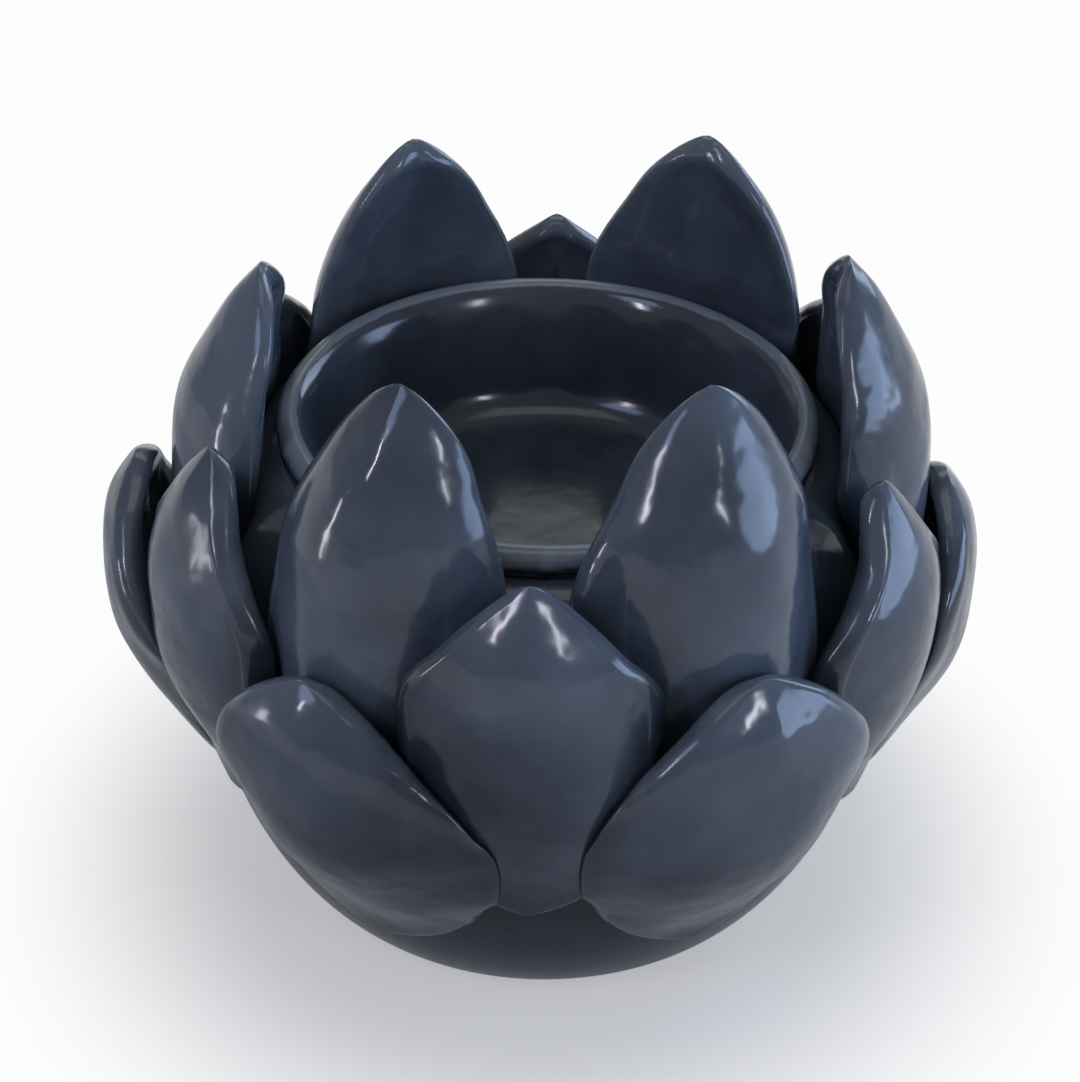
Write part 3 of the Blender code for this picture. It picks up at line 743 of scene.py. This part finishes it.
def paleFloor():
    # matt white paper, which a viewer and the glaze see as plain white except in the holder's shadow
    material = bpy.data.materials.new("paleFloor")
    material.use_nodes = True
    tree = material.node_tree
    shader = tree.nodes["Principled BSDF"]
    shader.inputs["Base Color"].default_value = linearColour(studio["floorColour"])
    shader.inputs["Roughness"].default_value = 0.9
    shader.inputs["Specular IOR Level"].default_value = 0.0
    path = addNode(tree, "ShaderNodeLightPath")
    mirrored = addNode(tree, "ShaderNodeMath", {
        0: path.outputs["Is Glossy Ray"], 1: path.outputs["Is Transmission Ray"],
    }, operation="MAXIMUM")
    place = addNode(tree, "ShaderNodeTexCoord").outputs["Object"]
    shifted = addNode(tree, "ShaderNodeVectorMath", {0: place}, operation="SUBTRACT")
    shifted.inputs[1].default_value = studio["mirroredCentre"]
    shares = []
    for seen, shadow, spot in ((path.outputs["Is Camera Ray"], "seenShadow", place),
                               (mirrored.outputs[0], "mirroredShadow", shifted.outputs["Vector"])):
        near, far, least = studio[shadow]
        away = addNode(tree, "ShaderNodeVectorMath", {0: spot}, operation="LENGTH")
        clearGlow = addNode(tree, "ShaderNodeMapRange", {"Value": away.outputs["Value"]},
                            interpolation_type="SMOOTHSTEP", From_Min=near, From_Max=far,
                            To_Min=least * studio["floorGlow"], To_Max=studio["floorGlow"])
        shares.append(addNode(tree, "ShaderNodeMath", {0: seen, 1: clearGlow.outputs["Result"]},
                              operation="MULTIPLY"))
    share = addNode(tree, "ShaderNodeMath", {0: shares[0].outputs[0], 1: shares[1].outputs[0]},
                    operation="MAXIMUM")
    glow = addNode(tree, "ShaderNodeEmission", Strength=1.0)
    mixed = addNode(tree, "ShaderNodeMixShader", {
        0: share.outputs[0], 1: shader.outputs[0], 2: glow.outputs[0],
    })
    tree.links.new(mixed.outputs[0], tree.nodes["Material Output"].inputs["Surface"])
    return material


floorMesh = bmesh.new()
bmesh.ops.create_grid(floorMesh, x_segments=1, y_segments=1, size=studio["floorSize"] / 2.0)
sweep = bmesh.ops.extrude_edge_only(floorMesh, edges=floorMesh.edges[:])
for vert in [item for item in sweep["geom"] if isinstance(item, bmesh.types.BMVert)]:
    vert.co.z += studio["sweepHeight"]  # the far edges turn up, as a paper sweep does
floorData = bpy.data.meshes.new("paleFloor")
floorMesh.to_mesh(floorData)
floorMesh.free()
floor = bpy.data.objects.new("paleFloor", floorData)
floor.location.z = studio["floorHeight"]
bpy.context.scene.collection.objects.link(floor)
floorData.materials.append(paleFloor())

for lampName, (azimuth, elevation, distance, width, height, radiance, tint) in studio["lamps"].items():
    light = bpy.data.lights.new(lampName, "AREA")
    light.shape = "RECTANGLE"
    light.size, light.size_y = width, height
    light.energy = radiance * math.pi * width * height  # an area lamp's watts for that radiance
    light.color = linearColour(tint)[:3]
    lamp = bpy.data.objects.new(lampName, light)
    a, e = math.radians(azimuth), math.radians(elevation)
    out = Vector((math.sin(a) * math.cos(e), -math.cos(a) * math.cos(e), math.sin(e)))
    lamp.location = Vector(studio["lampAim"]) + distance * out
    lamp.rotation_mode = "QUATERNION"
    lamp.rotation_quaternion = (-out).to_track_quat("-Z", "Y")
    bpy.context.scene.collection.objects.link(lamp)

world = bpy.data.worlds.new("dimRoom")
world.use_nodes = True
world.node_tree.nodes["Background"].inputs["Color"].default_value = (1.0, 1.0, 1.0, 1.0)
world.node_tree.nodes["Background"].inputs["Strength"].default_value = studio["worldLevel"]
bpy.context.scene.world = world

view = {
    "position": (-0.0009, -0.2891, 0.2524),
    "target": (-0.0009, 0.0, 0.05518),
    "rollDegrees": 0.92,
    "focalPixels": 2345.0,
    "imageHeight": 1082,
    "sensor": 36.0,
    "clip": (0.01, 100.0),
}
cameraData = bpy.data.cameras.new("camera")
cameraData.sensor_width = view["sensor"]
cameraData.lens = view["focalPixels"] / view["imageHeight"] * view["sensor"]
cameraData.clip_start, cameraData.clip_end = view["clip"]
camera = bpy.data.objects.new("camera", cameraData)
camera.location = view["position"]
camera.rotation_mode = "QUATERNION"
aim = (Vector(view["target"]) - Vector(view["position"])).to_track_quat("-Z", "Y")
camera.rotation_quaternion = aim @ Quaternion((0.0, 0.0, 1.0), math.radians(view["rollDegrees"]))
bpy.context.scene.collection.objects.link(camera)
bpy.context.scene.camera = camera
bpy.context.scene.view_settings.view_transform = "Standard"
print("studio set")
